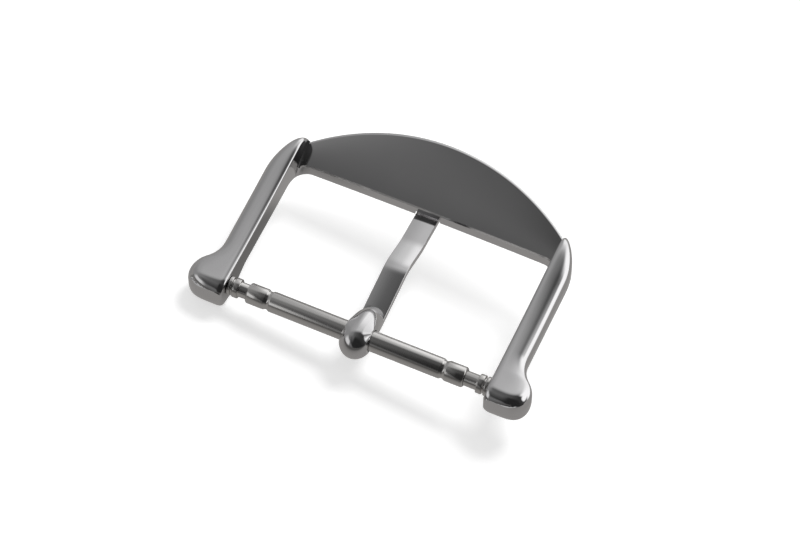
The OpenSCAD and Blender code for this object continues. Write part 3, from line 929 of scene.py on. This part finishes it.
def dress(obj, finish, body, replaced):
    """Gives a piece its finish, its body and its material slot, in place of the solid it stands for."""
    obj.data.materials.clear()
    obj.data.materials.append(Workshop.finish(finish))
    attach(obj, body)
    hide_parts(replaced)


# Operators

class BUCKLE_OT_frame(Operator):
    """Build the polished frame: plate, arms and lugs"""
    bl_idname = "buckle.frame"
    bl_label = "Frame"

    def execute(self, context):
        dress(build_frame(sizes("buckle_frame_sizes")), "frame", "frame", "buckle_frame")
        return {"FINISHED"}


class BUCKLE_OT_tang(Operator):
    """Build the bent tang with its eye"""
    bl_idname = "buckle.tang"
    bl_label = "Tang"

    def execute(self, context):
        dress(build_tang(sizes("buckle_tang_sizes")), "tang", "tang", "tang")
        return {"FINISHED"}


class BUCKLE_OT_spring_bar(Operator):
    """Build the spring bar: tube, two pins and the coil spring"""
    bl_idname = "buckle.spring_bar"
    bl_label = "Spring bar"

    def execute(self, context):
        s = sizes("buckle_bar_sizes")
        half_w = sizes("buckle_frame_sizes").strap_w / MM / 2
        dress(build_tube(s, half_w), "tube", "tube", "bar_tube")
        dress(build_pin(s, half_w, -1), "pin", "pin_left", "left_pin")
        dress(build_pin(s, half_w, 1), "pin", "pin_right", "right_pin")
        for side, joint in ((-1, "left_tip_press"), (1, "right_tip_press")):
            spring = build_spring(s, half_w, Workshop.finish("wire"), side)
            dress(spring, "wire", "spring_core", "bar_spring")
            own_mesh(spring)
        return {"FINISHED"}


def camera():
    """The photograph's view, for an image of 800 by 533."""
    az, el = math.radians(24.3), math.radians(59.5)
    place = Vector((63.57, -133.79, 260.94)) * MM
    focal_px, image_w, sensor_w = 4300, 800, 36
    back = Vector((math.sin(az) * math.cos(el), -math.cos(az) * math.cos(el), math.sin(el)))
    right = Vector((math.cos(az), math.sin(az), 0))
    up = back.cross(right)
    data = bpy.data.cameras.new("camera")
    data.sensor_fit = "HORIZONTAL"
    data.sensor_width = sensor_w
    data.lens = focal_px * sensor_w / image_w
    data.clip_start = 0.01
    data.clip_end = 10
    obj = bpy.data.objects.new("camera", data)
    bpy.context.scene.collection.objects.link(obj)
    turn = Matrix((right, up, back)).transposed().to_4x4()
    obj.matrix_world = Matrix.Translation(place) @ turn
    bpy.context.scene.camera = obj


def studio_world():
    """A photo studio as polished steel sees it: dark round the camera, light ahead, bright on the right."""
    world = bpy.data.worlds.new("studio")
    bpy.context.scene.world = world
    world.use_nodes = True
    tree = world.node_tree
    tree.nodes.clear()
    link = tree.links.new
    place = node(tree, "ShaderNodeTexCoord")
    split = node(tree, "ShaderNodeSeparateXYZ")
    connect(tree, (place, "Generated", split, 0))
    x, y, z = (split.outputs[axis] for axis in "XYZ")

    def levels(source, *stops):
        """Brightness at stops along a value from -1 to 1."""
        half = node(tree, "ShaderNodeMath", operation="MULTIPLY_ADD", in_1=0.5, in_2=0.5)
        link(source, half.inputs[0])
        n = node(tree, "ShaderNodeValToRGB")
        ramp = n.color_ramp
        ramp.interpolation = "EASE"
        while len(ramp.elements) > 1:
            ramp.elements.remove(ramp.elements[-1])
        for i, (place_on, level) in enumerate(stops):
            stop = ramp.elements.new(place_on / 2 + 0.5) if i else ramp.elements[0]
            stop.position = place_on / 2 + 0.5
            stop.color = (*[level] * 3, 1)
        connect(tree, (half, 0, n, 0))
        return n.outputs[0]

    def between(source, low, high):
        """A mask that runs smoothly from 0 at low to 1 at high."""
        n = eased(tree, low, high) if low < high else eased(tree, high, low, 1.0, 0.0)
        link(source, n.inputs["Value"])
        return n.outputs[0]

    def blend(mask, under, over):
        """Puts one level over another by a mask. A plain number is an even level."""
        n = mix(tree)
        for value, socket in ((mask, 0), (under, UNDER), (over, OVER)):
            if isinstance(value, float):
                n.inputs[socket].default_value = (*[value] * 3, 1)
            else:
                link(value, n.inputs[socket])
        return n.outputs[BLENDED]

    def facing(*direction):
        """How far a ray goes along a direction, from -1 to 1."""
        n = node(tree, "ShaderNodeVectorMath", operation="DOT_PRODUCT", in_1=Vector(direction).normalized())
        connect(tree, (place, "Generated", n, 0))
        return n.outputs["Value"]

    # Overhead a ceiling that darkens to the right, ahead a light wall, and a bright band low on it
    ceiling = levels(x, (-0.9, 0.35), (-0.45, 0.27), (-0.15, 0.14), (0.1, 0.1), (0.35, 0.07), (0.7, 0.05))
    wall = levels(x, (-0.9, 0.35), (-0.6, 0.48), (-0.35, 0.55), (-0.1, 0.72), (0.3, 0.85), (0.5, 1.0))
    band = levels(x, (-0.7, 0.3), (-0.45, 0.45), (-0.33, 0.7), (-0.21, 0.9), (-0.1, 1.3))
    room = blend(between(facing(-0.3, 1, 0), 0.25, 0.63), ceiling, wall)
    room = blend(between(y, 0.65, 0.95), room, band)
    # On the camera's side a dim room, with a window far on the left and nearly black on the right
    dim = levels(z, (0.0, 0.08), (0.15, 0.11), (0.25, 0.15), (0.35, 0.18), (0.44, 0.22), (0.53, 0.16),
                 (0.62, 0.09), (0.72, 0.07))
    window = levels(z, (0.0, 0.1), (0.15, 0.3), (0.35, 0.9), (0.55, 0.9), (0.7, 0.2))
    dim = blend(between(x, -0.3, -0.5), dim, window)
    dark = levels(z, (0.0, 0.04), (0.6, 0.05), (0.75, 0.09), (0.86, 0.13), (0.95, 0.17), (1, 0.19))
    dark = blend(between(x, -0.2, 0.1), dark, 0.025)
    front = blend(between(facing(-1, 0, -1.05), -0.32, -0.22), dark, dim)
    whole = blend(between(y, 0.0, -0.4), room, front)
    # Two bright panels: a round one on the right, and a square one behind it
    panel = 1.5
    whole = blend(between(facing(0.87, 0.44, 0.2), 0.92, 0.98), whole, panel)
    square = node(tree, "ShaderNodeMath", operation="MULTIPLY")
    link(between(y, 0.36, 0.6), square.inputs[0])
    link(between(x, 0.35, 0.65), square.inputs[1])
    whole = blend(square.outputs[0], whole, panel)

    # Only mirroring rays see the studio. The camera sees white, and all other light is even.
    path = node(tree, "ShaderNodeLightPath")
    seen = node(tree, "ShaderNodeBackground")
    link(whole, seen.inputs["Color"])
    even = node(tree, "ShaderNodeBackground", in_Color=(0.38, 0.38, 0.38, 1))
    white = node(tree, "ShaderNodeBackground", in_Color=(1, 1, 1, 1))
    soft = node(tree, "ShaderNodeMixShader")
    final = node(tree, "ShaderNodeMixShader")
    out = node(tree, "ShaderNodeOutputWorld")
    connect(tree, (path, "Is Glossy Ray", soft, 0), (even, 0, soft, 1), (seen, 0, soft, 2),
            (path, "Is Camera Ray", final, 0), (soft, 0, final, 1), (white, 0, final, 2),
            (final, 0, out, "Surface"))
    arrange(tree)


def table():
    """A white table under the buckle, which leans on its left lug as in the photograph."""
    look = sizes("buckle_finishes")
    reach, lean_x, lean_y = 2.0, -0.085, -0.25
    touch = Vector((-11.5, 0, -1.87)) * MM
    # Centre of a painted shadow that the steel mirrors under the left arm, where the plate's shadow falls in
    # the opening.
    painted_shadow_spot = (-0.0085, 0.005, -0.002)
    corners = [(x * reach, y * reach) for x, y in ((-1, -1), (1, -1), (1, 1), (-1, 1))]
    obj = object_from("table", [(x / MM, y / MM, (touch.z + (x - touch.x) * lean_x + y * lean_y) / MM)
                                for x, y in corners], [(0, 1, 2, 3)])
    mat = bpy.data.materials.new("white_table")
    mat.use_nodes = True
    tree = mat.node_tree
    bsdf = tree.nodes["Principled BSDF"]
    bsdf.inputs["Roughness"].default_value = 0.9
    bsdf.inputs["Specular IOR Level"].default_value = 0.1
    # The camera sees a white table. The steel mirrors a glowing grey one with painted shade: darker far in
    # front of the buckle, and a painted shadow round a spot under its left arm.
    path = node(tree, "ShaderNodeLightPath")
    place = node(tree, "ShaderNodeTexCoord")
    split = node(tree, "ShaderNodeSeparateXYZ")
    ahead = eased(tree, -0.016, -0.002, 0.3, 1.0)
    away = node(tree, "ShaderNodeVectorMath", operation="DISTANCE", in_1=painted_shadow_spot)
    shade = eased(tree, 0.0035, 0.007, 0.5, 1.0)
    level = node(tree, "ShaderNodeMath", operation="MULTIPLY")
    grey = node(tree, "ShaderNodeVectorMath", operation="SCALE", in_0=look.mirrored_table_shade)
    paint = mix(tree, look.table)
    glow = mix(tree, [look.table_glow] * 3)
    lit = node(tree, "ShaderNodeMath", operation="ADD")
    connect(tree, (place, "Object", split, 0), (split, "Y", ahead, "Value"), (place, "Object", away, 0),
            (away, "Value", shade, "Value"), (ahead, 0, level, 0), (shade, 0, level, 1),
            (level, 0, grey, "Scale"), (path, "Is Glossy Ray", paint, 0), (path, "Is Glossy Ray", glow, 0),
            (grey, 0, glow, OVER), (path, "Is Camera Ray", lit, 0), (path, "Is Glossy Ray", lit, 1),
            (paint, BLENDED, bsdf, "Base Color"), (glow, BLENDED, bsdf, "Emission Color"),
            (lit, 0, bsdf, "Emission Strength"))
    arrange(tree)
    obj.data.materials.append(mat)


def softbox(name, place, aim, size, watts):
    """A square softbox that lights the table and is left out of the steel's reflections."""
    data = bpy.data.lights.new(name, "AREA")
    data.shape = "RECTANGLE"
    data.size = data.size_y = size
    data.energy = watts
    obj = bpy.data.objects.new(name, data)
    bpy.context.scene.collection.objects.link(obj)
    obj.location = place
    obj.rotation_euler = (Vector(aim) - Vector(place)).to_track_quat("-Z", "Y").to_euler()
    obj.visible_glossy = False


class BUCKLE_OT_stage(Operator):
    """Set up the white table, the studio light and the photograph's camera"""
    bl_idname = "buckle.stage"
    bl_label = "Stage"

    def execute(self, context):
        context.scene.view_settings.view_transform = "Standard"
        camera()
        studio_world()
        table()
        softbox("key_softbox", place=(0.13, 0.47, 0.47), aim=(0, 0, 0), size=0.3, watts=2.3)
        return {"FINISHED"}


class BUCKLE_PT_panel(Panel):
    """Sizes and steps of the pin buckle"""
    bl_idname = "BUCKLE_PT_panel"
    bl_label = "Pin buckle"
    bl_space_type = "VIEW_3D"
    bl_region_type = "UI"
    bl_category = "Buckle"

    def draw(self, context):
        for operator in STEPS:
            self.layout.operator(operator.bl_idname)
        for name, _, title in GROUPS:
            box = self.layout.box()
            box.label(text=title)
            for prop in sizes(name).__annotations__:
                box.prop(sizes(name), prop)


STEPS = (BUCKLE_OT_frame, BUCKLE_OT_tang, BUCKLE_OT_spring_bar, BUCKLE_OT_stage)
GROUPS = (("buckle_frame_sizes", FrameSizes, "Frame"), ("buckle_tang_sizes", TangSizes, "Tang"),
          ("buckle_bar_sizes", BarSizes, "Spring bar"), ("buckle_finishes", Finishes, "Finishes"))
CLASSES = (*(cls for _, cls, _ in GROUPS), *STEPS, BUCKLE_PT_panel)


def register():
    for cls in CLASSES:
        bpy.utils.register_class(cls)
    for name, cls, _ in GROUPS:
        setattr(bpy.types.Scene, name, PointerProperty(type=cls))


def unregister():
    for name, _, _ in GROUPS:
        delattr(bpy.types.Scene, name)
    for cls in reversed(CLASSES):
        bpy.utils.unregister_class(cls)


def main():
    register()
    bpy.ops.buckle.frame()
    bpy.ops.buckle.tang()
    bpy.ops.buckle.spring_bar()
    bpy.ops.buckle.stage()


if __name__ == "__main__":
    main()
